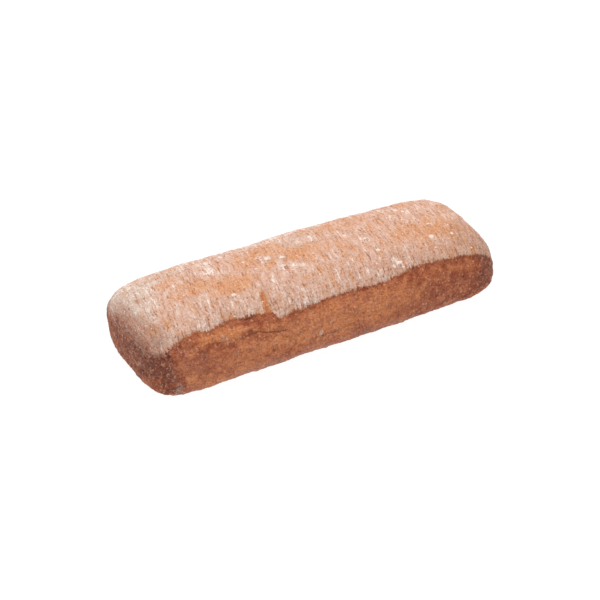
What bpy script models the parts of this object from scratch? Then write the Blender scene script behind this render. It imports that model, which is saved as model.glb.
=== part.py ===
"""Ciabatta: one whole, unsliced loaf lying on its flat underside.

Units are metres, +Z is up, and the origin is on the table under the middle of the loaf. +X runs along the
loaf. The long side at -Y is its front, with the clearest seam in its bare crust, and the end at -X is its
near end.

The loaf is one solid. A box of square cells is rounded into the plain form of the dough. The dough then
gets its taper, bow and swells, and the oven's relief comes last: bubbles under the skin, the ledge where
the floured skin ends, the creases, and the scalloped foot.
"""

import math

import bmesh
import bpy
from mathutils import Vector, noise

# Driving dimensions of the loaf
LENGTH = 0.2805
WIDTH = 0.1085
HEIGHT = 0.0518

# Mesh: the cells of the box that becomes the loaf
CELL = 0.0043

# Plain form: the loaf is widest at its waist, and each exponent says how square the form is along its axis
WAIST = 0.32 * HEIGHT
END_EXPONENT = 15.0
SIDE_EXPONENT = 2.9
CROWN_EXPONENT = 1.7
KEEL_EXPONENT = 3.7
KEEL_OVERHANG = 1.15  # the keel would reach this far down from the waist, were it not baked flat

# Uneven dough, as it was cut and turned out by hand
BOW = 0.0018  # the middle stands this far behind the ends
FAR_END_NARROWER = 0.055
NEAR_END_LOWER = 0.03
TAPER_START = 0.1  # as a share of the half length
FAR_END_SLANT = 0.03  # the far end is cut a little askew, so that its back reaches further than its front
SWELL = 0.0015
SWELL_LENGTH = 0.050
SWELL_PLACE = Vector((-0.24, 5.02, -1.12))  # where in the noise the swells are taken from
BUBBLE = 0.0007
BUBBLE_LENGTH = 0.016

# The floured skin ends in a ledge round the shoulders: points (x, height over the table) on each long side
SKIN_LEDGE = 0.0008
LEDGE_WIDTH = 0.005
FRONT_EDGE = (
    (-0.134, 0.028),
    (-0.120, 0.039),
    (-0.080, 0.043),
    (-0.053, 0.041),
    (-0.044, 0.037),
    (0.030, 0.039),
    (0.062, 0.041),
    (0.105, 0.039),
    (0.120, 0.034),
    (0.132, 0.022),
)
BACK_EDGE = (
    (-0.132, 0.024),
    (-0.112, 0.038),
    (-0.070, 0.040),
    (-0.020, 0.042),
    (0.040, 0.039),
    (0.090, 0.042),
    (0.118, 0.038),
    (0.134, 0.025),
)

# Creases, as (depth, half width, points on the crust)
FRONT_SEAM = (
    0.0014,
    0.0040,
    ((-0.109, -0.048, 0.034), (-0.093, -0.050, 0.032), (-0.065, -0.049, 0.033), (-0.040, -0.052, 0.028)),
)
FRONT_LOW_SEAM = (
    0.0009,
    0.0045,
    ((-0.017, -0.054, 0.020), (0.002, -0.054, 0.022), (0.045, -0.053, 0.025)),
)
NEAR_CORNER_SEAM = (0.0010, 0.0040, ((-0.123, -0.038, 0.040), (-0.113, -0.046, 0.036), (-0.104, -0.049, 0.033)))
SHOULDER_CRACK = (
    0.0013,
    0.0035,
    ((-0.050, -0.046, 0.037), (-0.051, -0.038, 0.044), (-0.051, -0.028, 0.048), (-0.046, -0.014, 0.052)),
)
NEAR_END_FOLD = (
    0.0018,
    0.0038,
    ((-0.127, -0.048, 0.019), (-0.137, -0.036, 0.017), (-0.139, -0.020, 0.013), (-0.139, -0.002, 0.008)),
)
FAR_END_FOLD = (0.0014, 0.0045, ((0.138, -0.030, 0.018), (0.140, 0.000, 0.021), (0.138, 0.030, 0.018)))
BACK_SEAM = (0.0013, 0.0040, ((0.095, 0.051, 0.028), (0.060, 0.052, 0.031), (0.025, 0.055, 0.025)))
BACK_LOW_SEAM = (0.0010, 0.0045, ((-0.015, 0.056, 0.022), (-0.050, 0.055, 0.026), (-0.085, 0.053, 0.024)))
CREASES = (
    FRONT_SEAM,
    FRONT_LOW_SEAM,
    NEAR_CORNER_SEAM,
    SHOULDER_CRACK,
    NEAR_END_FOLD,
    FAR_END_FOLD,
    BACK_SEAM,
    BACK_LOW_SEAM,
)

# Scalloped foot, where the dough clung to the baking sheet
SCALLOP = 0.0008
SCALLOP_LENGTH = 0.011
FOOT_BAND = 0.012

CRUST_COLOUR = (0.42, 0.17, 0.085, 1.0)
CRUST_ROUGHNESS = 0.8


def smooth(low, high, value):
    """0 below low, 1 above high, and an S curve between them."""
    share = min(1.0, max(0.0, (value - low) / (high - low)))
    return share * share * (3.0 - 2.0 * share)


def height_along(line, x):
    """The height at x of a line through points (x, height), level past its ends."""
    height = line[0][1]
    for (x_start, start), (x_end, end) in zip(line, line[1:]):
        height += (end - start) * smooth(x_start, x_end, x)
    return height


def plain_form(corner):
    """Rounds a point of the box from (-1, -1, -1) to (1, 1, 1) onto |x|^a + |y|^b + |z|^c = 1, to size."""
    above = corner.z >= 0.0
    exponents = (END_EXPONENT, SIDE_EXPONENT, CROWN_EXPONENT if above else KEEL_EXPONENT)
    powers = Vector([abs(value) ** (n / 2.0) for value, n in zip(corner, exponents)])
    powers.normalize()
    x, y, z = (math.copysign(power ** (2.0 / n), value) for power, n, value in zip(powers, exponents, corner))
    reach = HEIGHT - WAIST if above else WAIST * KEEL_OVERHANG
    return Vector((x * LENGTH / 2.0, y * WIDTH / 2.0, WAIST + z * reach))


def uneven_dough(point):
    """Tapers the plain form towards its ends, bows it, and slants its far end."""
    along = 2.0 * point.x / LENGTH
    far, near = smooth(TAPER_START, 1.0, along), smooth(TAPER_START, 1.0, -along)
    width = 1.0 - FAR_END_NARROWER * far
    height = 1.0 - NEAR_END_LOWER * near
    slant = FAR_END_SLANT * far * point.y
    return Vector((point.x + slant, point.y * width + BOW * (0.5 - along * along), point.z * height))


def place_on_line(point, line):
    """How far a point is from a line through points, and how far along the line from 0 to 1 it lies."""
    nearest, where = math.inf, 0.0
    for number, (start, end) in enumerate(zip(line, line[1:])):
        run = Vector(end) - Vector(start)
        share = min(1.0, max(0.0, (point - Vector(start)).dot(run) / run.length_squared))
        gap = (point - Vector(start) - share * run).length
        if gap < nearest:
            nearest, where = gap, (number + share) / (len(line) - 1)
    return nearest, where


def crease_depth(point):
    """How far the creases are cut in at this point. Each fades out towards its ends."""
    deepest = 0.0
    for depth, half_width, line in CREASES:
        gap, where = place_on_line(point, line)
        valley = math.exp(-((gap / half_width) ** 2))
        deepest = max(deepest, depth * valley * smooth(0.0, 0.2, where) * smooth(0.0, 0.2, 1.0 - where))
    return deepest


def ledge_height(point):
    """The floured skin stands half the ledge proud of the dough's form, and the bare crust lies half below."""
    towards_back = smooth(-WIDTH / 4.0, WIDTH / 4.0, point.y)
    front, back = height_along(FRONT_EDGE, point.x), height_along(BACK_EDGE, point.x)
    edge = front + (back - front) * towards_back
    return SKIN_LEDGE * (smooth(edge - LEDGE_WIDTH / 2.0, edge + LEDGE_WIDTH / 2.0, point.z) - 0.5)


def relief(point):
    """How far the crust stands out from the dough's form at this point."""
    above_foot = smooth(0.0, FOOT_BAND, point.z)
    swell = above_foot * SWELL * noise.noise(point / SWELL_LENGTH + SWELL_PLACE)
    bubble = above_foot * BUBBLE * noise.noise(point / BUBBLE_LENGTH)
    along_foot = Vector((point.x, point.y, 0.0))
    scallop = (1.0 - above_foot) * SCALLOP * noise.noise(along_foot / SCALLOP_LENGTH)
    return swell + bubble + scallop + ledge_height(point) - crease_depth(point)


def box_of_cells(bm):
    """A box from (-1, -1, -1) to (1, 1, 1) whose edges are cut so that the loaf gets cells of one size."""
    bmesh.ops.create_cube(bm, size=2.0)
    for axis, size in enumerate((LENGTH, WIDTH, HEIGHT)):
        edges = [e for e in bm.edges if abs(e.verts[0].co[axis] - e.verts[1].co[axis]) > 1.0]
        bmesh.ops.subdivide_edges(bm, edges=edges, cuts=round(size / CELL) - 1, use_grid_fill=True)


def centred_on_table(points):
    """Moves the points so that the middle of their box is over the origin, and cuts the underside flat."""
    middle = Vector()
    for axis in (0, 1):
        places = [point[axis] for point in points]
        middle[axis] = (min(places) + max(places)) / 2.0
    return [Vector((point.x - middle.x, point.y - middle.y, max(0.0, point.z))) for point in points]


def make_loaf():
    bm = bmesh.new()
    box_of_cells(bm)
    for vert in bm.verts:
        vert.co = uneven_dough(plain_form(vert.co))
    bm.normal_update()
    points = [vert.co + vert.normal * relief(vert.co) for vert in bm.verts]
    for vert, point in zip(bm.verts, centred_on_table(points)):
        vert.co = point
    mesh = bpy.data.meshes.new("loaf")
    bm.to_mesh(mesh)
    bm.free()
    mesh.shade_smooth()
    mesh.materials.append(crust_material())
    loaf = bpy.data.objects.new("loaf", mesh)
    bpy.context.scene.collection.objects.link(loaf)


def crust_material():
    material = bpy.data.materials.new("baked_crust")
    material.use_nodes = True
    shader = material.node_tree.nodes["Principled BSDF"]
    shader.inputs["Base Color"].default_value = CRUST_COLOUR
    shader.inputs["Roughness"].default_value = CRUST_ROUGHNESS
    shader.inputs["Metallic"].default_value = 0.0
    return material


for leftover in list(bpy.data.objects):
    bpy.data.objects.remove(leftover)

make_loaf()
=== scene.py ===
"""Looks of the ciabatta: its crust, the flour on it, and the studio that it is shown in.

Units are metres, +Z is up. +X runs along the loaf, and its long side at -Y is the front.
"""

import math
from types import SimpleNamespace

import bmesh
import bpy
import numpy as np
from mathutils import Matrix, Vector, kdtree, noise


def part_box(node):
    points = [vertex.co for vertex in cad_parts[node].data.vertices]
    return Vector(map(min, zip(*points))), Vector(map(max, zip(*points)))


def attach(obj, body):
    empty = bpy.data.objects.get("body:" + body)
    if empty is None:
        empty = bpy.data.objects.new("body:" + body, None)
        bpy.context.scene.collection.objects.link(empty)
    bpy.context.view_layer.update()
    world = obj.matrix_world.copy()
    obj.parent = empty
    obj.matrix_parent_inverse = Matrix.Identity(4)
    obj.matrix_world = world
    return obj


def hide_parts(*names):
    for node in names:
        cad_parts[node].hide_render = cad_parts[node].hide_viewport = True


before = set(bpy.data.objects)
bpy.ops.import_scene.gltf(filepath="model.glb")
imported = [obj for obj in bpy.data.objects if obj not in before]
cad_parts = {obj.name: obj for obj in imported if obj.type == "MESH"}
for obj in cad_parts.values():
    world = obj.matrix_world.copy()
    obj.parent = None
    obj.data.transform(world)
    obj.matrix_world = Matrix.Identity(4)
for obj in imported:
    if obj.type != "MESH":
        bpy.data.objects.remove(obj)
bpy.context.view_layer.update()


# --- Camera ---------------------------------------------------------------------------------------------
# The loaf is seen from the front and its near end, a good way above it, through a short tele lens. The
# camera aims a little to the left of the loaf's middle and below it.

CAMERA_AZIMUTH = math.radians(-29.56)
CAMERA_ELEVATION = math.radians(33.15)
CAMERA_DISTANCE = 0.819
LOAF_MIDDLE = Vector((0.0, 0.0, 0.025))
AIMS_LEFT_BY = 0.0042
AIMS_BELOW_BY = 0.0121
LENS = 69.3
SENSOR = 36.0

camera = bpy.data.objects.new("camera", bpy.data.cameras.new("camera"))
camera.data.lens = LENS
camera.data.sensor_width = SENSOR
camera.rotation_euler = (math.pi / 2.0 - CAMERA_ELEVATION, 0.0, CAMERA_AZIMUTH)
turn = camera.rotation_euler.to_matrix()
camera.location = LOAF_MIDDLE + turn @ Vector((-AIMS_LEFT_BY, -AIMS_BELOW_BY, CAMERA_DISTANCE))
bpy.context.scene.collection.objects.link(camera)
bpy.context.scene.camera = camera


# --- Crust ----------------------------------------------------------------------------------------------
# The whole skin of the loaf, baked from wet dough that was turned out of a floured cloth. The flour stays
# on the top and the shoulders, where the skin stretched in the oven and cracked across the loaf. The bare
# sides below it are browned, with seams where the dough was folded, and the underside is baked flat.

# The crust's own mesh: a box from -1 to 1 cut into cells, rounded into the loaf's plain form and laid on
# the solid loaf
CRUST_CELLS = (364, 94, 54)  # along the loaf, across it and up it
BOX_BOTTOM = -0.999  # the box's faces below this are its underside
ONE_FACE = (0.90, 0.70)  # this share of the underside, along and across, is one flat face
FORM_ABOVE = (15.0, 2.9, 1.7)  # how square the form is along each axis, above its waist
FORM_BELOW = (15.0, 2.9, 3.7)  # and below it
FORM_WAIST = 0.32  # of the loaf's height
EVENING = 0.5
EVENING_ROUNDS = 10


def points_of(mesh):
    """The mesh's points, as rows of x, y and z."""
    points = np.empty(len(mesh.vertices) * 3)
    mesh.vertices.foreach_get("co", points)
    return points.reshape(-1, 3)


def normals_of(mesh):
    """The mesh's directions outwards, as rows of x, y and z."""
    normals = np.empty(len(mesh.vertices) * 3)
    mesh.vertex_normals.foreach_get("vector", normals)
    return normals.reshape(-1, 3)


def box_of_cells():
    """The box, cut into cells, except for the one flat face of its underside."""
    bm = bmesh.new()
    bmesh.ops.create_cube(bm, size=2.0)
    for axis, cells in enumerate(CRUST_CELLS):
        # The uncut edges along this axis are those that run from one side of the box to the other
        edges = [e for e in bm.edges if abs(e.verts[0].co[axis] - e.verts[1].co[axis]) > 1.0]
        bmesh.ops.subdivide_edges(bm, edges=edges, cuts=cells - 1, use_grid_fill=True)
    along, across = ONE_FACE
    middles = [(face, face.calc_center_median()) for face in bm.faces]
    flat = [face for face, at in middles if at.z < BOX_BOTTOM and abs(at.x) < along and abs(at.y) < across]
    bmesh.ops.delete(bm, geom=flat, context="FACES")
    rim = [edge for edge in bm.edges if edge.is_boundary]
    one_face = bmesh.ops.contextual_create(bm, geom=rim)["faces"]
    bmesh.ops.triangulate(bm, faces=one_face)
    mesh = bpy.data.meshes.new("crust")
    bm.to_mesh(mesh)
    bm.free()
    return mesh


def plain_form(corners):
    """The box's points, rounded onto |x|^a + |y|^b + |z|^c = 1 and brought to the loaf's size."""
    above = corners[:, 2:] >= 0.0
    exponents = np.where(above, FORM_ABOVE, FORM_BELOW)
    powers = np.abs(corners) ** (exponents / 2.0)
    powers /= np.linalg.norm(powers, axis=1, keepdims=True)
    form = np.sign(corners) * powers ** (2.0 / exponents)
    low, high = np.array(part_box("loaf"))
    waist = low[2] + FORM_WAIST * (high[2] - low[2])
    half = (high - low) / 2.0
    middle = (high + low) / 2.0
    up = np.where(above[:, 0], high[2] - waist, waist - low[2])
    return np.column_stack((middle[:2] + form[:, :2] * half[:2], waist + form[:, 2] * up))


def settle(piece):
    """Makes what the piece's modifiers give its own plain mesh, and removes them. The empty material slot
    that realized instances leave before their own goes too."""
    evaluated = piece.evaluated_get(bpy.context.evaluated_depsgraph_get())
    mesh = bpy.data.meshes.new_from_object(evaluated)
    if mesh.materials and mesh.materials[0] is None:
        mesh.materials.pop(index=0)
    piece.modifiers.clear()
    piece.data = mesh
    mesh.name = piece.name


def lay_on_loaf(crust):
    """Lays the crust on the solid loaf, and evens out the solid's flat faces."""
    crust.data.vertices.foreach_set("co", plain_form(points_of(crust.data)).ravel())
    lay = crust.modifiers.new("lay", "SHRINKWRAP")
    lay.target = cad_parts["loaf"]
    lay.wrap_method = "NEAREST_SURFACEPOINT"
    even = crust.modifiers.new("even", "SMOOTH")
    even.factor = EVENING
    even.iterations = EVENING_ROUNDS
    settle(crust)


# Where the floured skin ends, round the loaf from its near front corner, in mm: (x, y, height, softness)
SKIN_EDGE = (
    (-127, -43, 35.0, 1.6),
    (-120, -46, 38.4, 0.8),
    (-112, -47, 41.4, 0.6),
    (-104, -47, 42.2, 0.6),
    (-95, -47, 41.4, 0.6),
    (-86, -47, 41.8, 0.6),
    (-80, -47, 42.8, 0.6),
    (-65, -47, 42.5, 0.6),
    (-50, -47, 41.0, 0.6),
    (-46, -47, 36.9, 0.8),
    (-36, -47, 38.5, 0.6),
    (0, -48, 39.6, 0.6),
    (22, -48, 38.5, 0.6),
    (40, -47, 39.0, 0.6),
    (56, -47, 40.3, 0.6),
    (62, -47, 41.2, 0.6),
    (90, -46, 40.0, 0.6),
    (108, -45, 39.0, 0.6),
    (119, -43, 36.6, 0.7),
    (126, -41, 32.0, 0.8),
    (130, -38, 24.0, 1.0),
    (134, -30, 15.0, 1.4),
    (138, -18, 13.0, 1.8),
    (139, 6, 16.0, 1.8),
    (137, 28, 15.0, 1.6),
    (128, 42, 28.0, 0.9),
    (112, 46, 38.0, 0.7),
    (85, 48, 41.0, 0.6),
    (50, 48, 38.5, 0.6),
    (15, 49, 39.5, 0.6),
    (-20, 49, 41.5, 0.6),
    (-55, 49, 39.5, 0.6),
    (-90, 48, 40.8, 0.6),
    (-118, 47, 37.0, 0.9),
    (-130, 38, 29.5, 3.5),
    (-136, 24, 31.0, 5.0),
    (-138, 0, 34.5, 6.5),
    (-136, -25, 33.4, 6.0),
    (-131, -38, 32.8, 3.5),
)

# Patches of the top with more flour than the rest, or less: (x, y, half length, half width) in mm, and how
# much more
FLOUR_PATCHES = (
    (-88, -6, 24, 10, -0.36),
    (-62, -14, 16, 9, -0.54),
    (-82, -22, 10, 5, -0.26),
    (-96, 14, 9, 6, -0.32),
    (-24, 6, 34, 16, -0.34),
    (12, -5, 26, 11, -0.34),
    (84, -12, 30, 11, -0.20),
    (104, -20, 12, 9, -0.30),
    (40, 21, 22, 10, -0.22),
    (76, 23, 14, 9, 0.10),
    (96, -34, 34, 14, -0.12),
    (-106, 8, 6, 5, -0.50),
    (-118, -27, 4, 4, -0.32),
    (-104, -38, 12, 6, 0.04),
    (-46, -12, 4, 8, -0.20),
    (-28, -37, 18, 9, 0.22),
    (-67, -31, 13, 6, 0.30),
    (-34, -21, 6, 6, 0.18),
    (-72, 8, 9, 5, 0.62),
    (-68, 18, 5, 4, 0.40),
    (-30, 3, 5, 5, 0.80),
    (-20, -1, 4, 5, 0.80),
    (-22, -11, 4, 4, 0.55),
    (-14, -14, 5, 4, 0.50),
    (-43, -6, 3, 3, 0.30),
    (43, -9, 4, 5, 0.50),
    (34, 3, 4, 4, 0.40),
    (44, -24, 3, 3, 0.30),
    (52, -38, 6, 4, 0.36),
    (95, -12, 3, 3, 0.26),
    (89, -25, 3, 4, 0.26),
    (89, 13, 3, 3, 0.26),
    (66, -30, 10, 6, 0.10),
    (-126, 12, 12, 32, 0.26),
    (-126.3, 4, 4, 10, 0.10),
    (-100, -30, 24, 12, 0.08),
    (22, -32, 30, 12, -0.02),
    (138, 20, 7, 34, 0.26),
    (116, -28, 12, 14, -0.06),
    # These two patches along the back shoulder are partly real flour and partly a painted highlight along
    # the rim of the top
    (-10, 44, 130, 16, 0.36),
    (-50, 30, 70, 8, 0.16),
    (-133, -10, 7, 30, -0.22),
    (-133, 30, 7, 14, 0.12),
    (-6, -28, 14, 9, -0.10),
    (80, -17, 20, 12, -0.20),
    (0, 17, 14, 9, 0.30),
    (50, 2, 20, 10, -0.14),
)

# Drifts of grey dust on the skin: (x, y, z, half size along, across and up) in mm, and how much
GREY_DUST = (
    (-125, 14, 48, 18, 34, 9, 0.30),
    (-134, 30, 35, 8, 14, 10, 0.34),
    (138, 12, 36, 9, 34, 16, 0.34),
    (-40, 44, 50, 90, 14, 7, 0.42),
    (-102, 22, 50, 20, 12, 8, 0.24),
    (0, 16, 52, 14, 9, 5, 0.16),
    (96, 46, 49, 40, 11, 7, 0.34),
)

# Flour left on the bare crust, in the same form. A veil is a fine even dust, and a smear is flour in flecks
VEILS = (
    (-138, -2, 24, 16, 46, 24, 0.07),
    (136, -10, 20, 24, 56, 30, 0.11),
    (-10, -54, 18, 130, 14, 20, 0.035),
    (0, -52, 4, 150, 14, 8, 0.12),
    (-70, -52, 6, 50, 12, 8, 0.05),
    (-112, -48, 18, 20, 10, 18, 0.05),
    (0, 54, 2, 170, 14, 8, 0.10),
)
SMEARS = (
    (-18, -53, 18.5, 3, 5, 4, 1.40),
    (-88, -47, 33.0, 5, 6, 2.5, 0.70),
    (-125, -51, 11, 3, 4, 6, 0.65),
    (-127, -48, 8, 4, 5, 4, 0.75),
    (-128, -46, 4, 6, 7, 3.5, 0.60),
    (-122, -44, 30, 10, 10, 12, 0.22),
    (130, -40, 22, 12, 12, 14, 0.08),
    (40, 55, 20, 8, 6, 5, 0.80),
)

# How far the bare crust is browned, in the same form. Skin that has browning is toasted
BROWNED_PLACES = (
    (-92, -44, 39, 16, 10, 6, -0.36),
    (-92, -53, 17, 32, 8, 12, -0.12),
    (-80, -46, 35, 11, 8, 4, -0.40),
    (-56, -51, 25, 34, 12, 6, -0.14),
    (-60, -49, 34, 18, 6, 2, -0.18),
    (-58, -51, 27, 13, 6, 3, -0.20),
    (-70, -45, 36, 7, 5, 3, -0.12),
    (-33, -51, 31, 8, 6, 4, 0.10),
    (4, -54, 28, 58, 20, 14, -0.29),
    (2, -53, 21.5, 26, 8, 2, -0.22),
    (90, -52, 18, 40, 14, 18, 0.20),
    (44, -50, 33, 8, 8, 5, 0.04),
    (116, -26, 46, 16, 16, 8, 0.24),
    (92, -40, 43, 30, 9, 7, 0.08),
    (128, -42, 25, 16, 22, 22, 0.29),
    (-134, -34, 27, 10, 20, 10, 0.26),
    (-136, -8, 24, 12, 50, 15, 0.38),
    (-131, -8, 39, 9, 34, 8, 0.26),
    (-127, -34, 40, 9, 12, 7, 0.28),
    (-136, -20, 8, 14, 40, 8, 0.21),
    (-127, -47, 18, 8, 10, 14, 0.40),
    (-112, -46, 34, 12, 12, 8, 0.20),
    (-106, -50, 20, 14, 8, 10, 0.10),
    (-50, -34, 45, 7, 14, 10, -0.22),
    # This row along the front foot and the one along the back foot darken it partly as browning and partly
    # as painted shade where the loaf meets the table
    (-20, -50, 3, 150, 16, 9, 0.16),
    (20, 54, 24, 42, 20, 13, -0.24),
    (20, 50, 3, 150, 16, 9, 0.16),
    (-120, 48, 25, 24, 20, 22, 0.20),
)
UNDER_EDGE_BROWNING = 0.12
UNDER_EDGE_WIDTH = 0.0055  # how far this browning reaches below the skin's edge
OVER_EDGE_WIDTH = UNDER_EDGE_WIDTH / 5.0

PATCH_FADE = (0.55, 1.25)  # a patch fades out between these, in its half sizes
PATCH_DRIFT = ((0.016, 0.005), (0.006, 0.003))  # outlines are led astray in turns of this size, by this
DRIFT_SEED = 5  # of how the patches and the lines are led astray

# Lines on the crust: (half width, cut in, darkness of painted shade, flour, points on the crust), with
# lengths in mm. Seams and folds are cuts darkened with painted shade, tears in the skin have lost their
# flour, and proud strands stand out and hold it
FRONT_SEAM = (
    (-77, -47, 31.3),
    (-69, -47, 32.5),
    (-63, -47.3, 32.5),
    (-55, -48.5, 30.3),
    (-48, -49.4, 29.6),
    (-40, -50.3, 28.4),
)
LOW_FRONT_SEAM = ((-27, -53.3, 17.6), (-13, -53, 18.2), (-4, -53, 18.1), (7, -53, 19.5), (17, -53, 20.5))
SEAMS = (
    (0.8, 0.3, 0.14, 0, ((-98, -46, 34), (-90, -46.6, 33), (-80, -47, 32), (-74, -47, 32))),
    (0.6, 0.5, 0.64, 0, FRONT_SEAM),
    (1.2, 0.3, 0.16, 0, ((-50, -50.5, 25), (-40, -51.5, 24.5), (-28, -52.5, 24))),
    (0.7, 0.5, 0.44, 0, LOW_FRONT_SEAM),
    (0.9, 0.3, 0.16, 0, ((14, -53.5, 21), (28, -53.5, 23), (45, -53, 25))),
    (0.8, 0.4, 0.26, 0, ((-121, -41, 38), (-114, -45, 35), (-106, -47, 33))),
    (1.6, 0.6, 0.18, 0, ((-127, -48, 19), (-137, -36, 17), (-139, -20, 13), (-139, -2, 8))),
    (2.0, 0.4, 0.14, 0, ((138, -30, 14), (140, 0, 13), (138, 30, 15))),
    (0.7, 0.7, 0.80, 0, ((95, 51, 28), (78, 52, 31), (60, 52, 31.5), (40, 54, 28), (25, 55, 25))),
    (1.0, 0.5, 0.30, 0, ((-15, 56, 22), (-32, 56, 23.5), (-50, 55, 26), (-85, 53, 24))),
)
TEARS = (
    (2.3, 0.6, 0.10, -1.0, ((-51.8, -44, 38), (-51.3, -40, 41.5), (-51, -36, 44))),
    (1.9, 0.6, 0.10, -1.0, ((-51.2, -38.5, 42.5), (-50.8, -32, 46.5), (-49.5, -26, 49.5))),
    (0.8, 0.3, 0.10, -0.5, ((-48, -27, 49), (-46, -18, 51), (-44, -8, 52))),
    (0.8, 0.4, 0.25, -0.7, ((-84, -43, 42), (-83, -36, 46), (-82, -29, 49))),
    (0.7, 0.3, 0.20, -0.6, ((-76, -43, 42), (-75, -37, 46))),
    (0.7, 0.3, 0.20, -0.6, ((-69, -42, 43), (-68, -37, 46), (-68, -33, 48))),
)
PROUD_STRANDS = (
    (0.6, -0.2, 0, 0.9, ((-115.7, 16, 48.5), (-116.7, -2, 49.3), (-118, -15, 49.2))),
    (0.6, -0.25, 0, 0.8, ((-107.8, -4, 50), (-105.8, -18, 50))),
    (0.6, -0.25, 0, 0.8, ((-92, 8, 51), (-94, -10, 51))),
    (0.6, -0.2, 0, 0.65, ((-83.6, -12, 51), (-88, -30, 48), (-87, -38, 44.5))),
    (0.6, -0.2, 0, 0.65, ((8, -24, 49), (5, -38, 44))),
    (0.6, -0.2, 0, 0.65, ((-4, -12, 51), (-8, -26, 49))),
    (0.6, -0.2, 0, 0.65, ((11, 0, 52), (7.6, -13, 52))),
    (0.6, -0.2, 0, 0.65, ((15.5, -8, 52), (14, -22, 51))),
    (0.6, -0.2, 0, 0.6, ((23, -20, 50), (21.4, -40, 42.5))),
)
LINE_STEP = 0.0008
LINE_WOBBLE = 0.0009
LINE_WOBBLE_LENGTH = 0.006
LINE_ENDS = 6.0  # a line comes up to its full marks over this part of its length, at either end
LINE_REACH = (2.5, 5.0)  # a line's marks fade out between these, in its half widths
LINE_WIDTH = 1.7  # a line itself has faded out here, in its half widths

# The underside, up to this height, has these marks all over: an even veil, flecks of flour and browning
UNDERSIDE_REACH = 0.0001
UNDERSIDE_MARKS = {"flour": 0.0, "veil": 0.30, "smear": 0.62, "dust": 0.0, "browning": 0.10}

END_FACING = (0.5, 0.85)  # the crust counts as an end from where it faces along the loaf by this much
CROWN = (0.86, 0.99)  # the crown of the loaf, as shares of its height, which is less wrinkled
CROWN_EVENNESS = 0.35
FOOT = 0.05  # the share of the height, from the table up, over which the relief comes in


def smooth(low, high, values):
    """0 below low, 1 above high, and an S curve between them."""
    share = np.clip((values - low) / (high - low), 0.0, 1.0)
    return share * share * (3.0 - 2.0 * share)


def height_over_edge(points):
    """How far each point is above the edge of the floured skin, and how soft the edge is there."""
    line = np.array(SKIN_EDGE + SKIN_EDGE[:1]) / 1000.0
    nearest = np.full(len(points), np.inf)
    height, softness = np.zeros(len(points)), np.ones(len(points))
    for start, end in zip(line, line[1:]):
        run = end[:2] - start[:2]
        share = np.clip((points[:, :2] - start[:2]) @ run / (run @ run), 0.0, 1.0)
        gap = np.linalg.norm(points[:, :2] - start[:2] - share[:, None] * run, axis=1)
        closer = gap < nearest
        nearest = np.where(closer, gap, nearest)
        height = np.where(closer, start[2] + share * (end[2] - start[2]), height)
        softness = np.where(closer, start[3] + share * (end[3] - start[3]), softness)
    return points[:, 2] - height, softness


def astray(points, size, reach):
    """The points, each led astray by up to the reach, in turns of this size."""
    moves = [noise.noise_vector(Vector(point) / size) for point in points]
    return points + reach * np.array(moves)


def patches(points, places):
    """The sum of soft patches, each with its middle, its half sizes and its strength."""
    total = np.zeros(len(points))
    for place in np.array(places, dtype=float):
        count = (len(place) - 1) // 2
        middle, half, strength = place[:count] / 1000.0, place[count : 2 * count] / 1000.0, place[-1]
        away = np.linalg.norm((points[:, :count] - middle) / half, axis=1)
        total += strength * (1.0 - smooth(*PATCH_FADE, away))
    return total


def line_points(crust):
    """Closely spaced points of each line, on the crust: [(point, direction, half width, marks)]. The marks
    are its cut, its shade and its flour."""
    found = []
    for half_width, cut, shade, flour, line in SEAMS + TEARS + PROUD_STRANDS:
        line = [Vector(point) / 1000.0 for point in line]
        for number, (start, end) in enumerate(zip(line, line[1:])):
            steps = math.ceil((end - start).length / LINE_STEP)
            for step in range(steps):
                along = (number + step / steps) / (len(line) - 1)
                point = start.lerp(end, step / steps)
                wobble = noise.noise_vector(point / LINE_WOBBLE_LENGTH) * LINE_WOBBLE
                on_crust = crust.closest_point_on_mesh(point + wobble)[1]
                fade = min(1.0, LINE_ENDS * along, LINE_ENDS * (1.0 - along))
                marks = (cut / 1000.0 * fade, shade * fade, flour * fade)
                found.append((on_crust, (end - start).normalized(), half_width / 1000.0, marks))
    return found


def lines_near(crust, points):
    """For each point: how far beside the nearest line it lies, in half widths, and that line's marks. The
    side counts, so that a line stays thin between the mesh's points."""
    lines = line_points(crust)
    tree = kdtree.KDTree(len(lines))
    for number, line in enumerate(lines):
        tree.insert(line[0], number)
    tree.balance()
    normals = normals_of(crust.data)
    beside, marks = np.zeros(len(points)), np.zeros((len(points), 3))
    for place, (point, normal) in enumerate(zip(points, normals)):
        on_line, number, gap = tree.find(point)
        direction, half_width, line_marks = lines[number][1:]
        side = direction.cross(Vector(normal)).dot(Vector(point) - on_line)
        beside[place] = math.copysign(gap / half_width, side)
        marks[place] = line_marks
    marks *= 1.0 - smooth(*LINE_REACH, np.abs(beside))[:, None]
    return beside, marks


def mark(mesh, name, values):
    """Stores one number for each point of the mesh, under a name that nodes can read."""
    layer = mesh.attributes.new(name, "FLOAT", "POINT")
    layer.data.foreach_set("value", values.astype(np.float32))


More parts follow.
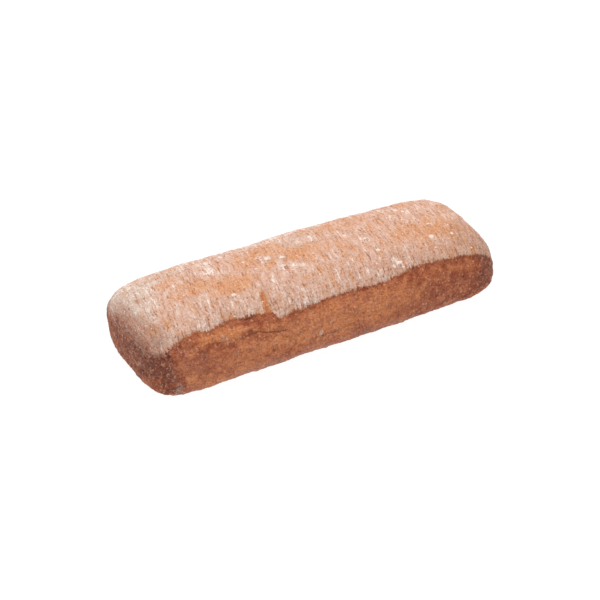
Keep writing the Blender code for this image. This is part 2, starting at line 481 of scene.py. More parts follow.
def mark_crust(crust):
    """Stores where the crust is floured, browned, creased and wrinkled."""
    points = points_of(crust.data)
    low, high = np.array(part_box("loaf"))
    up = (points[:, 2] - low[2]) / (high[2] - low[2])
    over_edge, softness = height_over_edge(points)
    under_edge = np.exp(-((over_edge / np.where(over_edge < 0.0, UNDER_EDGE_WIDTH, OVER_EDGE_WIDTH)) ** 2))
    beside_line, line_marks = lines_near(crust, points)
    line_cut, line_shade, line_flour = line_marks.T
    strayed = points
    for size, reach in PATCH_DRIFT:
        strayed = astray(strayed, size, reach)
    marks = {
        "over_edge": over_edge,
        "softness": softness,
        "flour": patches(strayed, FLOUR_PATCHES),
        "veil": patches(strayed, VEILS),
        "smear": patches(strayed, SMEARS),
        "dust": patches(strayed, GREY_DUST),
        "browning": patches(strayed, BROWNED_PLACES) + UNDER_EDGE_BROWNING * under_edge,
        "end": smooth(*END_FACING, np.abs(normals_of(crust.data)[:, 0])),
        "beside_line": beside_line,
        "line_cut": line_cut,
        "line_shade": line_shade,
        "line_flour": line_flour,
        "wrinkled": 1.0 - CROWN_EVENNESS * smooth(*CROWN, up),
        "grounded": 1.0 - smooth(0.0, FOOT, up),
    }
    on_underside = points[:, 2] < low[2] + UNDERSIDE_REACH
    for name, values in marks.items():
        mark(crust.data, name, np.where(on_underside, UNDERSIDE_MARKS.get(name, values), values))


def add_node(tree, kind, inputs=None, **settings):
    """A new node. Each input, by name or place, takes a value or the socket that feeds it."""
    node = tree.nodes.new(kind)
    for name, value in settings.items():
        setattr(node, name, value)
    for name, value in (inputs or {}).items():
        if isinstance(value, bpy.types.NodeSocket):
            tree.links.new(value, node.inputs[name])
        else:
            node.inputs[name].default_value = value
    return node


def figure(tree, operation, *values):
    """What a math node makes of its values."""
    return add_node(tree, "ShaderNodeMath", dict(enumerate(values)), operation=operation).outputs[0]


def product(tree, first, *others):
    """All the numbers, multiplied."""
    for other in others:
        first = figure(tree, "MULTIPLY", first, other)
    return first


def summed(tree, total, *parts):
    """The total plus each (part, factor), multiplied out."""
    for part, factor in parts:
        total = figure(tree, "MULTIPLY_ADD", part, factor, total)
    return total


def rising(tree, value, low, high, start=0.0, end=1.0):
    """start where the value is below low, end where it is above high, and an S curve between them."""
    inputs = {"Value": value, "From Min": low, "From Max": high, "To Min": start, "To Max": end}
    return add_node(tree, "ShaderNodeMapRange", inputs, interpolation_type="SMOOTHSTEP").outputs["Result"]


def between(tree, share, first, second):
    """A number between two numbers."""
    return add_node(tree, "ShaderNodeMix", {0: share, 2: first, 3: second}, data_type="FLOAT").outputs[0]


def stretched(tree, vector, size):
    """The vector counted in this size, or in these three."""
    sizes = (size,) * 3 if isinstance(size, float) else size
    return add_node(tree, "ShaderNodeVectorMath", {0: vector, 1: sizes}, operation="DIVIDE").outputs[0]


def uneven(tree, vector, detail=2.0, roughness=0.5):
    """Smooth noise round 0.5, with lumps about as large as the vector's unit."""
    inputs = {"Vector": vector, "Scale": 1.0, "Detail": detail, "Roughness": roughness}
    return add_node(tree, "ShaderNodeTexNoise", inputs).outputs[0]


def centred(tree, vector, detail=2.0, roughness=0.5):
    """Smooth noise round 0."""
    return figure(tree, "SUBTRACT", uneven(tree, vector, detail, roughness), 0.5)


def lumps(tree, place, size, detail=2.0, roughness=0.5):
    """Smooth noise round 0, with lumps of about this size."""
    return centred(tree, stretched(tree, place, size), detail, roughness)


def drifting(tree, place, size, reach):
    """The place, led astray by up to about half the reach, in turns of this size."""
    inputs = {"Vector": stretched(tree, place, size), "Scale": 1.0}
    turns = add_node(tree, "ShaderNodeTexNoise", inputs).outputs[1]
    inputs = {0: turns, 1: (0.5,) * 3}
    turns = add_node(tree, "ShaderNodeVectorMath", inputs, operation="SUBTRACT").outputs[0]
    inputs = {0: turns, 1: (reach,) * 3, 2: place}
    return add_node(tree, "ShaderNodeVectorMath", inputs, operation="MULTIPLY_ADD").outputs[0]


# The floured skin is drawn out across the loaf, and down its ends, into strands and fine threads with thin
# cracks between, a few long streaks and patches. They lean a little, so that they run towards the near end
# at the front. Each has its width and its length
STRAND = (0.0012, 0.0095)
THREAD = (0.0008, 0.0042)
CRACK = (0.0023, 0.0090)
STREAK = (0.0016, 0.0260)
BLOTCH = (0.0036, 0.0095)
CRACK_WIDTH = 0.16  # as a share of the way from one crack to the next
STRAND_LEAN = math.radians(9.0)
STRAND_DRIFTS = ((0.014, 0.0032), (0.0045, 0.0015))  # in turns of this size, by about this much

EDGE_RAGS = ((0.0085, 0.0034), (0.0026, 0.0022), (0.0010, 0.0010))  # size of the rags, how far they reach
DAPPLE = 3.2  # where the skin's edge is soft, it breaks up along the strands, as strongly as this
TEAR_FRAY = 0.8  # how much the strands fray the rim of a tear
TORN = (-0.95, -0.50)  # the skin is gone where its flour is below the first, and whole above the second

WRINKLE = 0.0032  # size of the curly wrinkles in the bare crust
WRINKLE_CREST = (0.01, 0.11)  # how narrow their crests are


def along_strands(tree, place):
    """The place, led astray and turned as the strands are."""
    for size, reach in STRAND_DRIFTS:
        place = drifting(tree, place, size, reach)
    inputs = {"Vector": place, "Angle": STRAND_LEAN}
    return add_node(tree, "ShaderNodeVectorRotate", inputs, rotation_type="Z_AXIS").outputs[0]


def drawn_out(tree, place, end, size, pattern=centred):
    """A pattern drawn out across the loaf's top and down its sides, and from side to side on its ends."""
    width, length = size
    over = pattern(tree, stretched(tree, place, (width, length, length)))
    on_end = pattern(tree, stretched(tree, place, (length, length, width)))
    return between(tree, end, over, on_end)


def crack_distance(tree, vector):
    """How far away the nearest crack between two cells is."""
    inputs = {"Vector": vector, "Scale": 1.0}
    return add_node(tree, "ShaderNodeTexVoronoi", inputs, feature="DISTANCE_TO_EDGE").outputs["Distance"]


def cracks(tree, place, end):
    """1 in the thin cracks of the floured skin, and 0 beside them."""
    return rising(tree, drawn_out(tree, place, end, CRACK, crack_distance), 0.0, CRACK_WIDTH, 1.0, 0.0)


def line_profile(tree, beside_line):
    """1 on a line and 0 beside it."""
    return rising(tree, figure(tree, "ABSOLUTE", beside_line), 0.0, LINE_WIDTH, 1.0, 0.0)


def height_over_rags(tree, place, over_edge, softness, strand):
    """The height over the skin's ragged edge, counted in the edge's softness."""
    for size, reach in EDGE_RAGS:
        over_edge = summed(tree, over_edge, (lumps(tree, place, size), reach))
    return summed(tree, figure(tree, "DIVIDE", over_edge, softness), (strand, DAPPLE))


def skin_share(tree, over_rags, line_flour, strand):
    """1 on the floured skin, and 0 below its edge and in its tears."""
    torn = rising(tree, summed(tree, line_flour, (strand, TEAR_FRAY)), *TORN, 1.0, 0.0)
    return product(tree, rising(tree, over_rags, -1.0, 1.0), figure(tree, "SUBTRACT", 1.0, torn))


def wrinkle_crests(tree, place, size):
    """1 on the crests of curly wrinkles, and 0 between them."""
    return rising(tree, figure(tree, "ABSOLUTE", lumps(tree, place, size, 1.0)), *WRINKLE_CREST, 1.0, 0.0)


# The crust's relief: sizes of what stands out of it, and how far it does
RELIEF = {
    "Strand Height": 0.00042,
    "Streak Height": 0.0005,
    "Crack Depth": 0.0001,
    "Swell Size": 0.0075,
    "Swell Height": 0.0016,
    "Blister Size": 0.0034,
    "Blister Height": 0.0004,
    "Grain Size": 0.0019,
    "Grain Height": 0.0006,
    "Wrinkle Size": WRINKLE,
    "Wrinkle Height": 0.0006,
    "Ledge Height": 0.0003,
}
BLISTERED = (0.55, 0.8)  # blisters rise where the noise passes from the first of these to the second
WRINKLED = (0.05, 0.40)  # wrinkles rise where the browning is this far from none, either way


def new_tree(name, sockets):
    """A Geometry Nodes tree that takes a mesh, these inputs and a material, with its inputs and outputs."""
    tree = bpy.data.node_groups.new(name, "GeometryNodeTree")
    tree.interface.new_socket("Geometry", in_out="INPUT", socket_type="NodeSocketGeometry")
    for label, kind in sockets.items():
        tree.interface.new_socket(label, in_out="INPUT", socket_type=kind)
    tree.interface.new_socket("Material", in_out="INPUT", socket_type="NodeSocketMaterial")
    tree.interface.new_socket("Geometry", in_out="OUTPUT", socket_type="NodeSocketGeometry")
    return tree, tree.nodes.new("NodeGroupInput").outputs, tree.nodes.new("NodeGroupOutput").inputs


def close_tree(tree, given, made, geometry):
    """Ends the tree: the geometry comes out as a real mesh in its material."""
    real = add_node(tree, "GeometryNodeRealizeInstances", {"Geometry": geometry}).outputs[0]
    inputs = {"Geometry": real, "Material": given["Material"]}
    tree.links.new(add_node(tree, "GeometryNodeSetMaterial", inputs).outputs[0], made["Geometry"])


def named(tree, name):
    """A number that the mesh stores for each point."""
    return add_node(tree, "GeometryNodeInputNamedAttribute", {"Name": name}, data_type="FLOAT").outputs[0]


def relief_tree():
    """Moves the crust's points in or out, as far as its relief does."""
    tree, given, made = new_tree("crust_relief", dict.fromkeys(RELIEF, "NodeSocketFloat"))
    place = tree.nodes.new("GeometryNodeInputPosition").outputs[0]
    normal = tree.nodes.new("GeometryNodeInputNormal").outputs[0]
    end, skin_place = named(tree, "end"), along_strands(tree, place)
    line = line_profile(tree, named(tree, "beside_line"))
    strand = drawn_out(tree, skin_place, end, STRAND)
    streak = drawn_out(tree, skin_place, end, STREAK)
    crack = cracks(tree, skin_place, end)

    line_flour = product(tree, line, named(tree, "line_flour"))
    over_rags = height_over_rags(tree, place, named(tree, "over_edge"), named(tree, "softness"), strand)
    floured = skin_share(tree, over_rags, line_flour, strand)
    bare = figure(tree, "SUBTRACT", 1.0, floured)

    swell = lumps(tree, place, given["Swell Size"], 3.0)
    grain = lumps(tree, place, given["Grain Size"], 3.0)
    blister = rising(tree, uneven(tree, stretched(tree, place, given["Blister Size"]), 1.0), *BLISTERED)
    weathered = rising(tree, figure(tree, "ABSOLUTE", named(tree, "browning")), *WRINKLED)
    wrinkle = product(tree, wrinkle_crests(tree, place, given["Wrinkle Size"]), weathered, bare)

    strands = product(tree, strand, given["Strand Height"])
    strands = figure(tree, "SUBTRACT", strands, product(tree, crack, given["Crack Depth"]))
    total = product(tree, strands, product(tree, named(tree, "wrinkled"), floured))
    total = summed(
        tree,
        total,
        (product(tree, streak, floured), given["Streak Height"]),
        (swell, given["Swell Height"]),
        (grain, given["Grain Height"]),
        (blister, given["Blister Height"]),
        (wrinkle, given["Wrinkle Height"]),
        (floured, given["Ledge Height"]),
        (product(tree, line, named(tree, "line_cut")), -1.0),
    )
    total = product(tree, total, figure(tree, "SUBTRACT", 1.0, named(tree, "grounded")))
    inputs = {0: normal, "Scale": total}
    offset = add_node(tree, "ShaderNodeVectorMath", inputs, operation="SCALE").outputs[0]
    moved = add_node(tree, "GeometryNodeSetPosition", {"Geometry": given["Geometry"], "Offset": offset})
    close_tree(tree, given, made, moved.outputs[0])
    return tree


def grow(piece, tree, values):
    """Runs a Geometry Nodes tree on the piece with these inputs, and keeps what it makes."""
    modifier = piece.modifiers.new(tree.name, "NODES")
    modifier.node_group = tree
    for socket in tree.interface.items_tree:
        if socket.in_out == "INPUT" and socket.name in values:
            modifier[socket.identifier] = values[socket.name]
    settle(piece)


# Noise that mottles the crust: (size, detail, roughness)
BROAD = (0.020, 3.0, 0.55)
CLOSE = (0.0050, 3.0, 0.6)
FINE = (0.0015, 2.0, 0.6)
GRAIN = (0.0009, 1.0, 0.55)
FIBRE = ((0.0050, 0.0018, 0.0018), 3.0, 0.65)
PORE = (0.0024, 2.0, 0.6)
WRINKLE_GAPS = (0.0026, 2.0, 0.55)
CRACK_GAPS = (0.0035, 2.0, 0.55)

# Blisters on the bare crust: one in each cell of this size at most, of up to this share of the cell
BLISTER_CELL = 0.0026
BLISTER_RADIUS = 0.36
BLISTER_PALE = 0.50

# Where the patterns start and where they are full, and the shares that they then have where these aren't 0
# and 1
PORES = (-0.22, -0.12, 0.45, 0.0)
PALE_WRINKLES = (0.05, 0.36, 0.04, 0.60)
UNBROKEN_WRINKLES = (-0.04, 0.12)
PALE_STREAKS = (0.09, 0.20)
FURROWS = (-0.22, -0.12, 1.0, 0.0)
WORN = (-0.28, 0.14)
COVER = (-0.80, 0.40)
THICK = (0.28, 1.0)
PITS = (-0.28, -0.13, 1.0, 0.0)
PITS_UP_THE_SKIN = (0.002, 0.012, 0.80, 0.53)
# Where the painted shadow under the skin's edge rises and where it falls away, in the edge's softness
UNDER_EDGE = ((-3.4, -1.8), (-1.5, -0.6, 1.0, 0.0))
SHARP_EDGE = (0.0008, 0.0024, 1.0, 0.0)
# Share of the fine grain's painted light and shade that the floured skin keeps
PAINTED_GRAIN_LIGHT_ON_SKIN = 0.65
ROUGHNESS = (0.62, 0.95)  # of the bare crust and of flour
SHEEN_OF_CRUST = 0.12
BUMP_HEIGHT = 0.00045

# Colours of the crust and its flour, linear
MEAN_BROWNING = 0.40
BARE_CRUST = (  # from none to the most browning
    (0.00, (0.62, 0.215, 0.083, 1.0)),
    (0.33, (0.450, 0.145, 0.064, 1.0)),
    (0.62, (0.330, 0.086, 0.038, 1.0)),
    (1.00, (0.185, 0.051, 0.030, 1.0)),
)
WORN_SKIN = (0.620, 0.290, 0.145, 1.0)
BROWN_SKIN = (0.55, 0.260, 0.168, 1.0)
FLOUR = (0.660, 0.442, 0.348, 1.0)
THICK_FLOUR = (0.82, 0.695, 0.615, 1.0)
BLISTER_TIP = (0.66, 0.33, 0.20, 1.0)
PALE_CREST = (0.58, 0.31, 0.22, 1.0)
GREY_FLOUR = (0.64, 0.58, 0.505, 1.0)
TOASTED_SKIN = (0.37, 0.215, 0.165, 1.0)
CRACK_BROWN = (0.33, 0.105, 0.050, 1.0)
# Painted shade in seams, folds and tears, and painted shadow under the skin's edge
PAINTED_SEAM_SHADE = (0.13, 0.040, 0.018, 1.0)
# The fine grain's painted light also makes its lit grains paler
PAINTED_GRAIN_PALE = (0.0, 0.075, 0.070)  # a light grain is also paler
DARKEST = (0.01, 0.01, 0.01)
MOST_COVER = 0.94  # even the thickest flour lets some of the skin show


def attribute(tree, name):
    """A number that the piece's mesh stores, as its material reads it."""
    return add_node(tree, "ShaderNodeAttribute", attribute_name=name).outputs["Fac"]


def blend(tree, share, first, second):
    """A colour between two colours."""
    return add_node(tree, "ShaderNodeMix", {0: share, 6: first, 7: second}, data_type="RGBA").outputs[2]


def ramp(tree, value, stops):
    """The colour at this value of a ramp with (place, colour) stops."""
    node = add_node(tree, "ShaderNodeValToRGB", {"Fac": value})
    elements = node.color_ramp.elements
    while len(elements) < len(stops):
        elements.new(0.5)
    for element, (position, colour) in zip(elements, stops):
        element.position = position
        element.color = colour
    return node.outputs["Color"]


def blister_tips(tree, place):
    """1 on the pale tips of the blisters, which are as uneven in size as their cells' random colours."""
    inputs = {"Vector": stretched(tree, place, BLISTER_CELL), "Scale": 1.0}
    cells = add_node(tree, "ShaderNodeTexVoronoi", inputs, feature="F1").outputs
    draw = add_node(tree, "ShaderNodeSeparateColor", {0: cells["Color"]}).outputs[0]
    radius = rising(tree, draw, 0.25, 1.0, 0.0, BLISTER_RADIUS)
    return rising(tree, figure(tree, "SUBTRACT", radius, cells["Distance"]), -0.03, 0.04)


def crust_patterns(tree):
    """The patterns that the crust's material is made from, by name."""
    place = tree.nodes.new("ShaderNodeTexCoord").outputs["Object"]
    end, skin_place = attribute(tree, "end"), along_strands(tree, place)
    line = line_profile(tree, attribute(tree, "beside_line"))
    return SimpleNamespace(
        place=place,
        end=end,
        strand=drawn_out(tree, skin_place, end, STRAND),
        thread=drawn_out(tree, skin_place, end, THREAD),
        streak=drawn_out(tree, skin_place, end, STREAK),
        blotch=drawn_out(tree, skin_place, end, BLOTCH),
        crack=cracks(tree, skin_place, end),
        broad=lumps(tree, place, *BROAD),
        close=lumps(tree, place, *CLOSE),
        fine=lumps(tree, place, *FINE),
        grain=lumps(tree, place, *GRAIN),
        fibre=lumps(tree, place, *FIBRE),
        browning=attribute(tree, "browning"),
        line_shade=product(tree, line, attribute(tree, "line_shade")),
        line_flour=product(tree, line, attribute(tree, "line_flour")),
    )


def add_bare_marks(tree, seen):
    """Adds the dark pores of the bare crust, its curly wrinkles and the tips of its blisters."""
    seen.pore = rising(tree, lumps(tree, seen.place, *PORE), *PORES)
    seen.tip = product(tree, blister_tips(tree, seen.place), BLISTER_PALE)
    weathered = rising(tree, figure(tree, "ABSOLUTE", seen.browning), *PALE_WRINKLES)
    unbroken = rising(tree, lumps(tree, seen.place, *WRINKLE_GAPS), *UNBROKEN_WRINKLES)
    seen.wrinkle = product(tree, wrinkle_crests(tree, seen.place, WRINKLE), weathered, unbroken)


def add_skin_marks(tree, seen):
    """Adds where the floured skin is, its furrows and cracks, and how much flour there is anywhere."""
    seen.over_edge, seen.softness = attribute(tree, "over_edge"), attribute(tree, "softness")
    dapple = summed(tree, seen.strand, (seen.thread, 1.0))
    seen.over_rags = height_over_rags(tree, seen.place, seen.over_edge, seen.softness, dapple)
    seen.floured = skin_share(tree, seen.over_rags, seen.line_flour, seen.strand)
    seen.furrow = product(tree, rising(tree, seen.streak, *FURROWS), seen.floured)
    unbroken = figure(tree, "ADD", lumps(tree, seen.place, *CRACK_GAPS), 0.12)
    seen.crack = product(tree, seen.crack, unbroken, seen.floured, attribute(tree, "wrinkled"))
    patchy = summed(tree, 1.0, (seen.close, 2.2), (seen.blotch, 2.0))
    seen.patch = product(tree, attribute(tree, "flour"), patchy)
    seen.flour = summed(
        tree,
        seen.patch,
        (seen.strand, 1.1),
        (seen.thread, 0.8),
        (seen.blotch, 1.8),
        (seen.close, 1.0),
        (seen.fine, 0.4),
        (seen.broad, 0.6),
        (rising(tree, seen.streak, *PALE_STREAKS), 0.45),
        (seen.furrow, -0.55),
        (seen.line_flour, 1.0),
        (attribute(tree, "smear"), 1.0),
        (figure(tree, "SUBTRACT", seen.floured, 1.0), 1.4),
    )
    seen.cover = rising(tree, seen.flour, *COVER)


def bare_colour(tree, seen):
    """Mottled brown with fibres along the loaf, dark pores, pale wrinkles and pale tips of blisters."""
    browning = product(tree, seen.browning, summed(tree, 1.0, (seen.close, 1.6)))
    browning = summed(
        tree, browning, (seen.broad, 0.9), (seen.close, 1.2), (seen.fibre, 0.8), (seen.fine, 0.12)
    )
    colour = ramp(tree, figure(tree, "ADD", browning, MEAN_BROWNING), BARE_CRUST)
    colour = blend(tree, seen.pore, colour, CRACK_BROWN)
    colour = blend(tree, seen.tip, colour, BLISTER_TIP)
    colour = blend(tree, seen.wrinkle, colour, PALE_CREST)
    veil = product(tree, attribute(tree, "veil"), summed(tree, 1.0, (seen.close, 1.8), (seen.fibre, 1.2)))
    return blend(tree, veil, colour, FLOUR)


def skin_colour(tree, seen):
    """Brown skin between the strands, which is more golden where it is worn thin."""
    worn = summed(
        tree,
        seen.patch,
        (seen.broad, 1.0),
        (seen.close, 0.9),
        (seen.blotch, 1.4),
        (seen.strand, 0.5),
        (seen.thread, 0.2),
        (seen.line_flour, 1.0),
        (seen.furrow, -0.20),
        (seen.end, 0.5),
    )
    return blend(tree, rising(tree, worn, *WORN), WORN_SKIN, BROWN_SKIN)


def with_flour(tree, seen, colour):
    """Flour over the colour, with grey dust on it, dark cracks and pits in it, and toasted places."""
    powder = blend(tree, rising(tree, seen.flour, *THICK), FLOUR, THICK_FLOUR)
    colour = blend(tree, product(tree, seen.cover, MOST_COVER), colour, powder)
    dust = summed(tree, 1.0, (seen.close, 1.4), (seen.thread, 1.6), (seen.fine, 1.0))
    colour = blend(tree, product(tree, attribute(tree, "dust"), dust), colour, GREY_FLOUR)
    pit = rising(tree, summed(tree, seen.strand, (seen.thread, 0.8), (seen.fine, 0.5)), *PITS)
    pit = product(tree, pit, seen.floured, rising(tree, seen.over_edge, *PITS_UP_THE_SKIN))
    colour = blend(tree, figure(tree, "MAXIMUM", seen.crack, pit), colour, CRACK_BROWN)
    toasted = summed(tree, 1.2, (seen.close, 2.4), (seen.thread, 2.0))
    return blend(tree, product(tree, seen.browning, seen.floured, toasted), colour, TOASTED_SKIN)


def with_painted_seam_shade(tree, seen, colour):
    """Painted shade in the seams over the colour, and a painted shadow in a dark line right under the
    skin's edge where that is sharp.
    """
    below, above = UNDER_EDGE
    under_edge = product(
        tree,
        rising(tree, seen.over_rags, *below),
        rising(tree, seen.over_rags, *above),
        figure(tree, "MULTIPLY_ADD", seen.broad, 1.6, 0.28),
        rising(tree, seen.softness, *SHARP_EDGE),
    )
    return blend(tree, figure(tree, "MAXIMUM", under_edge, seen.line_shade), colour, PAINTED_SEAM_SHADE)


def with_painted_relief_light(tree, seen, colour):
    """The painted light and shade of the fine relief over the colour: a fine grain painted lighter and
    darker, strands painted lighter as lit ridges, and furrows painted darker as shaded hollows.
    """
    painted_grain_light = summed(tree, seen.fine, (seen.grain, 0.7))
    painted_grain_light = product(tree, painted_grain_light, rising(tree, seen.floured, 0.0, 1.0, 1.0, PAINTED_GRAIN_LIGHT_ON_SKIN))
    painted_ridge_light = product(tree, summed(tree, seen.thread, (seen.strand, 0.7)), seen.floured)
    painted_light = summed(tree, 1.0, (painted_grain_light, 1.0), (seen.furrow, -0.10), (painted_ridge_light, 0.42))
    colour = add_node(tree, "ShaderNodeHueSaturation", {"Value": painted_light, "Color": colour}).outputs[0]
    inputs = {0: painted_grain_light, 1: PAINTED_GRAIN_PALE, 2: colour}
    colour = add_node(tree, "ShaderNodeVectorMath", inputs, operation="MULTIPLY_ADD").outputs[0]
    return add_node(tree, "ShaderNodeVectorMath", {0: colour, 1: DARKEST}, operation="MAXIMUM").outputs[0]


def crust_material():
    material = bpy.data.materials.new("floured_crust")
    material.use_nodes = True
    tree = material.node_tree
    shader = tree.nodes["Principled BSDF"]
    seen = crust_patterns(tree)
    add_bare_marks(tree, seen)
    add_skin_marks(tree, seen)

    colour = blend(tree, seen.floured, bare_colour(tree, seen), skin_colour(tree, seen))
    for layer in (with_flour, with_painted_seam_shade, with_painted_relief_light):
        colour = layer(tree, seen, colour)
    tree.links.new(colour, shader.inputs["Base Color"])
    tree.links.new(rising(tree, seen.cover, 0.0, 1.0, *ROUGHNESS), shader.inputs["Roughness"])
    shader.inputs["Specular IOR Level"].default_value = SHEEN_OF_CRUST

    height = summed(
        tree,
        product(tree, seen.cover, 0.3),
        (seen.fine, 1.3),
        (seen.grain, 0.6),
        (seen.strand, 0.5),
        (seen.thread, 0.5),
        (seen.crack, -0.8),
        (seen.tip, 0.3),
        (seen.wrinkle, 0.3),
        (seen.pore, -0.8),
    )
    bump = add_node(tree, "ShaderNodeBump", {"Height": height, "Distance": BUMP_HEIGHT, "Strength": 1.0})
    tree.links.new(bump.outputs[0], shader.inputs["Normal"])
    return material


noise.seed_set(DRIFT_SEED)
crust = bpy.data.objects.new("crust", box_of_cells())
bpy.context.scene.collection.objects.link(crust)
lay_on_loaf(crust)
mark_crust(crust)
grow(crust, relief_tree(), {**RELIEF, "Material": crust_material()})
crust.data.shade_smooth()
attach(crust, "root")
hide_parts("loaf")


# --- Loose flour ----------------------------------------------------------------------------------------
# Flour that the cloth left on the skin in flat flecks and small grains, with a few grains that have fallen
# on the bare crust. It only lies there. Each kind is one piece.

# The flecks that stand out, in mm: (x, y, half width). The other flecks and the grains lie at random
FLECKS = (
    (44.2, -23.4, 1.9),
    (42.9, -8.1, 1.5),
    (53.6, -37.2, 1.8),
    (48.8, -38.6, 1.4),
    (54.6, -40.4, 1.1),
    (95.0, -11.5, 1.6),
    (89.0, -24.5, 1.6),
    (104.7, -27.1, 1.3),
    (89.0, 12.8, 1.3),
    (86.9, -34.0, 1.1),
    (-30.0, 2.7, 1.9),
    (-19.8, -1.3, 1.8),
    (-23.1, -10.1, 1.4),
    (-16.1, -13.8, 1.2),
    (-42.6, -5.8, 1.1),
    (-68.8, -24.9, 1.4),
    (-46.4, 5.5, 1.1),
)
FACES_UP = 0.3  # they lie where the crust faces up at least this much

# How the rest is strewn: lumps for each square metre, their radii, and their height as a share of these
STREWN_FLECKS = {
    "Lumps On Skin": 5000,
    "Lumps On Bare": 60,
    "Least Radius": 0.0003,
    "Greatest Radius": 0.0007,
    "Flatness": 0.50,
    "Seed": 11,
}
STREWN_GRAINS = {
    "Lumps On Skin": 90000,
    "Lumps On Bare": 3000,
    "Least Radius": 0.00014,
    "Greatest Radius": 0.00030,
    "Flatness": 0.7,
    "Seed": 23,
}
SKIN_BEGINS = (-0.001, 0.002)  # between these heights over the skin's edge
FLECK_SUBDIVISIONS = 2
GRAIN_SUBDIVISIONS = 1
LUMP_UNEVENNESS = (0.7, 1.3)  # of a lump's length and width
LUMP_NOISE = 0.0005
LUMP_REACH = 0.0004
RADIUS_SEED = 3
SHAPE_SEED = 5
CHOSEN_SHAPE_SEED = 8

PALE_FLOUR = (0.88, 0.72, 0.61, 1.0)
TOASTED_FLOUR = (0.76, 0.56, 0.45, 1.0)
TOASTED_PATCH = 0.004
TOASTED_SHARE = (0.35, 0.65)
POWDER = 0.0002
POWDER_HEIGHT = 0.0001


def mark_flecks(crust):
    """Stores which way the crust faces, and at the point nearest to each chosen fleck its half width."""
    points, normals = points_of(crust.data), normals_of(crust.data)
    half_widths = np.zeros(len(points))
    for x, y, half_width in np.array(FLECKS) / 1000.0:
        away = np.hypot(points[:, 0] - x, points[:, 1] - y)
        half_widths[np.argmin(np.where(normals[:, 2] > FACES_UP, away, np.inf))] = half_width
    mark(crust.data, "fleck", half_widths)
    lie = crust.data.attributes.new("lie", "FLOAT_VECTOR", "POINT")
    lie.data.foreach_set("vector", normals.ravel().astype(np.float32))


def drawn(tree, low, high, seed):
    """A random number for each point."""
    inputs = {"Min": low, "Max": high, "Seed": seed}
    return add_node(tree, "FunctionNodeRandomValue", inputs, data_type="FLOAT").outputs["Value"]


def laid_lumps(tree, points, radius, flatness, subdivisions, seed):
    """Lumps of flour on the crust at these points, turned to lie on it and flattened."""
    inputs = {"Name": "lie"}
    lie = add_node(tree, "GeometryNodeInputNamedAttribute", inputs, data_type="FLOAT_VECTOR").outputs[0]
    turned = add_node(tree, "FunctionNodeAlignRotationToVector", {"Vector": lie}, axis="Z").outputs[0]
    inputs = {"Radius": 1.0, "Subdivisions": subdivisions}
    ball = add_node(tree, "GeometryNodeMeshIcoSphere", inputs).outputs["Mesh"]
    along = product(tree, radius, drawn(tree, *LUMP_UNEVENNESS, seed))
    across = product(tree, radius, drawn(tree, *LUMP_UNEVENNESS, seed + 1))
    up = product(tree, radius, flatness)
    size = add_node(tree, "ShaderNodeCombineXYZ", {"X": along, "Y": across, "Z": up}).outputs[0]
    inputs = {"Points": points, "Instance": ball, "Rotation": turned, "Scale": size}
    laid = add_node(tree, "GeometryNodeInstanceOnPoints", inputs).outputs[0]
    real = add_node(tree, "GeometryNodeRealizeInstances", {"Geometry": laid}).outputs[0]
    place = tree.nodes.new("GeometryNodeInputPosition").outputs[0]
    moved = drifting(tree, place, LUMP_NOISE, LUMP_REACH)
    return add_node(tree, "GeometryNodeSetPosition", {"Geometry": real, "Position": moved}).outputs[0]


def flour_tree(name, subdivisions, with_chosen):
    """Strews lumps of flour over the crust, with the chosen flecks or without them."""
    sockets = dict.fromkeys(STREWN_FLECKS, "NodeSocketFloat")
    tree, given, made = new_tree(name, {**sockets, "Seed": "NodeSocketInt"})
    floured = rising(tree, named(tree, "over_edge"), *SKIN_BEGINS)
    density = between(tree, floured, given["Lumps On Bare"], given["Lumps On Skin"])
    grounded = figure(tree, "GREATER_THAN", named(tree, "grounded"), 0.5)
    density = product(tree, density, figure(tree, "SUBTRACT", 1.0, grounded))
    inputs = {"Mesh": given["Geometry"], "Density": density, "Seed": given["Seed"]}
    scattered = add_node(tree, "GeometryNodeDistributePointsOnFaces", inputs, distribute_method="RANDOM")
    radius = drawn(tree, given["Least Radius"], given["Greatest Radius"], RADIUS_SEED)
    lumps_laid = laid_lumps(
        tree, scattered.outputs["Points"], radius, given["Flatness"], subdivisions, SHAPE_SEED
    )
    if with_chosen:
        half_width = named(tree, "fleck")
        chosen = figure(tree, "GREATER_THAN", half_width, 0.0)
        inputs = {"Mesh": given["Geometry"], "Selection": chosen}
        points = add_node(tree, "GeometryNodeMeshToPoints", inputs).outputs[0]
        more = laid_lumps(tree, points, half_width, given["Flatness"], subdivisions, CHOSEN_SHAPE_SEED)
        both = tree.nodes.new("GeometryNodeJoinGeometry")
        tree.links.new(lumps_laid, both.inputs[0])
        tree.links.new(more, both.inputs[0])
        lumps_laid = both.outputs[0]
    close_tree(tree, given, made, lumps_laid)
    return tree


def flour_material():
    material = bpy.data.materials.new("loose_flour")
    material.use_nodes = True
    tree = material.node_tree
    shader = tree.nodes["Principled BSDF"]
    place = tree.nodes.new("ShaderNodeTexCoord").outputs["Object"]
    toasted = rising(tree, uneven(tree, stretched(tree, place, TOASTED_PATCH), 3.0), *TOASTED_SHARE)
    tree.links.new(blend(tree, toasted, PALE_FLOUR, TOASTED_FLOUR), shader.inputs["Base Color"])
    shader.inputs["Roughness"].default_value = 0.95
    shader.inputs["Specular IOR Level"].default_value = 0.1
    powder = uneven(tree, stretched(tree, place, POWDER))
    bump = add_node(tree, "ShaderNodeBump", {"Height": powder, "Distance": POWDER_HEIGHT, "Strength": 0.6})
    tree.links.new(bump.outputs[0], shader.inputs["Normal"])
    return material


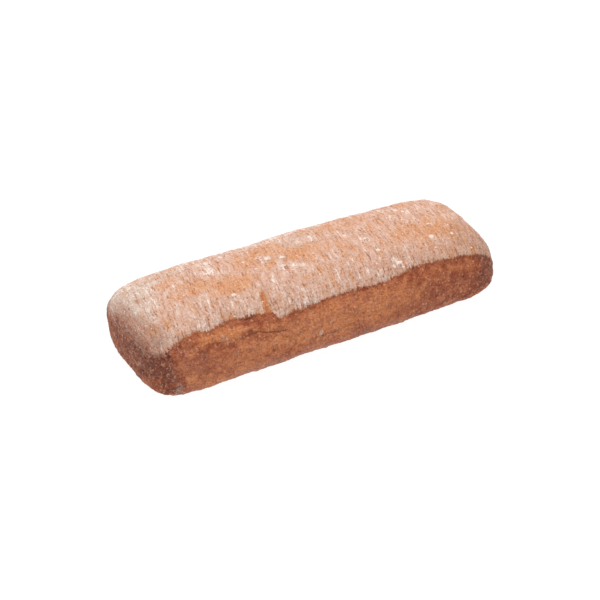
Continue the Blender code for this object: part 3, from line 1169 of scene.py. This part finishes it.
mark_flecks(crust)
loose_flour = flour_material()
for name, subdivisions, with_chosen, strewn in (
    ("flour_flecks", FLECK_SUBDIVISIONS, True, STREWN_FLECKS),
    ("flour_grains", GRAIN_SUBDIVISIONS, False, STREWN_GRAINS),
):
    piece = bpy.data.objects.new(name, crust.data.copy())
    bpy.context.scene.collection.objects.link(piece)
    grow(piece, flour_tree(name, subdivisions, with_chosen), {**strewn, "Material": loose_flour})
    piece.data.shade_smooth()
    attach(piece, "root")


# --- Studio ---------------------------------------------------------------------------------------------
# A plain white table, lit by a white tent all round and by one large soft lamp above.

FLOOR_SIZE = 8.0
FLOOR_COLOUR = (0.06, 0.06, 0.06, 1.0)
FLOOR_ROUGHNESS = 0.9
FLOOR_GLOW = 0.97
WHITE = (1.0, 1.0, 1.0, 1.0)
TENT_STRENGTH = 0.60
LAMP_SIZE = 1.0
LAMP_POWER = 12.0
LAMP_PLACE = (0.05, 0.30, 1.20)

floor_mesh = bpy.data.meshes.new("floor")
half_floor = FLOOR_SIZE / 2.0
corners = [(x * half_floor, y * half_floor, 0.0) for x, y in ((-1, -1), (1, -1), (1, 1), (-1, 1))]
floor_mesh.from_pydata(corners, [], [(0, 1, 2, 3)])
floor = bpy.data.objects.new("floor", floor_mesh)
bpy.context.scene.collection.objects.link(floor)
floor_paint = bpy.data.materials.new("white_table")
floor_paint.use_nodes = True
floor_shader = floor_paint.node_tree.nodes["Principled BSDF"]
floor_shader.inputs["Base Color"].default_value = FLOOR_COLOUR
floor_shader.inputs["Roughness"].default_value = FLOOR_ROUGHNESS
floor_shader.inputs["Emission Color"].default_value = WHITE
floor_shader.inputs["Emission Strength"].default_value = FLOOR_GLOW
floor_mesh.materials.append(floor_paint)

tent = bpy.data.worlds.new("tent")
tent.use_nodes = True
tent.node_tree.nodes["Background"].inputs["Color"].default_value = WHITE
tent.node_tree.nodes["Background"].inputs["Strength"].default_value = TENT_STRENGTH
bpy.context.scene.world = tent

lamp = bpy.data.objects.new("lamp", bpy.data.lights.new("lamp", "AREA"))
lamp.data.shape = "DISK"
lamp.data.size = LAMP_SIZE
lamp.data.energy = LAMP_POWER
lamp.location = LAMP_PLACE
lamp.rotation_euler = (LOAF_MIDDLE - lamp.location).to_track_quat("-Z", "Y").to_euler()
bpy.context.scene.collection.objects.link(lamp)

bpy.context.scene.view_settings.view_transform = "Standard"
